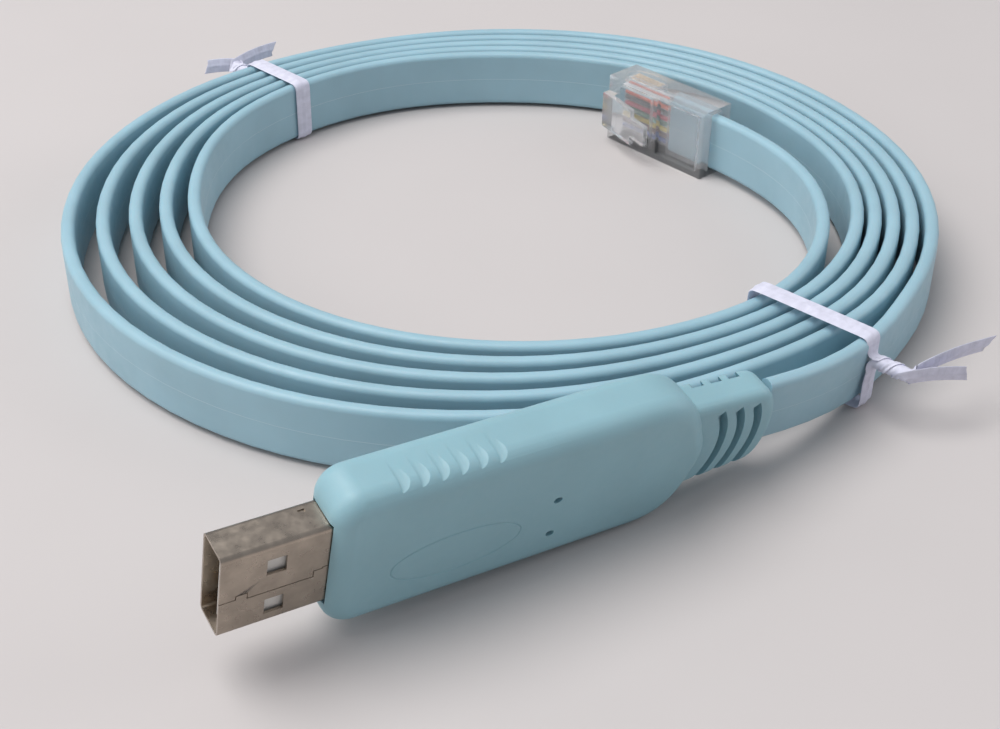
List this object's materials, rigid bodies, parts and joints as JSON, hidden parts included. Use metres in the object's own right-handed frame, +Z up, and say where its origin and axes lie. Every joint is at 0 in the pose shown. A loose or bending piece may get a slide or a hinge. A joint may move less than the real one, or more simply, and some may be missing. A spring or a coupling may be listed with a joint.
{
  "type": "rj45 console cable",
  "caption": "Flat blue console cable wound on edge in a loose coil, with a USB-A plug in a moulded housing on one end, a clear RJ45 plug on the other and paper twist ties.",
  "frame": {"origin": "on the floor under the middle of the whole object's bounding box", "axes": "+Z up, -Y towards the USB plug, +Y across the coil to its far side, +X to the right seen from the USB plug's side"},
  "size_m": [0.1306, 0.1586, 0.022],
  "materials": {
    "cable_jacket": "satin",
    "moulded_housing": "fine matt texture",
    "plated_shell": "brushed nickel plate",
    "white_insulator": "matt",
    "clear_plastic": "clear, gloss",
    "gold_plate": "gold plate",
    "paper_tie": "coated paper",
    "wire_blue": "gloss",
    "wire_brown": "gloss",
    "wire_yellow": "gloss",
    "wire_green": "gloss",
    "wire_red": "gloss",
    "wire_black": "gloss",
    "wire_orange": "gloss",
    "wire_white": "gloss"
  },
  "bodies": {
    "root": {"flat_cable": "cable_jacket", "usb_housing": "moulded_housing", "usb_shell": "plated_shell", "usb_tongue": "white_insulator", "rj45_body": "clear_plastic", "twist_tie_front": "paper_tie", "twist_tie_rear": "paper_tie", "usb_contact_1": "gold_plate", "usb_contact_2": "gold_plate", "usb_contact_3": "gold_plate", "usb_contact_4": "gold_plate", "rj45_blade_1": "gold_plate", "rj45_blade_2": "gold_plate", "rj45_blade_3": "gold_plate", "rj45_blade_4": "gold_plate", "rj45_blade_5": "gold_plate", "rj45_blade_6": "gold_plate", "rj45_blade_7": "gold_plate", "rj45_blade_8": "gold_plate", "rj45_wire_1": "wire_blue", "rj45_wire_2": "wire_brown", "rj45_wire_3": "wire_yellow", "rj45_wire_4": "wire_green", "rj45_wire_5": "wire_red", "rj45_wire_6": "wire_black", "rj45_wire_7": "wire_orange", "rj45_wire_8": "wire_white"}
  },
  "joints": []
}
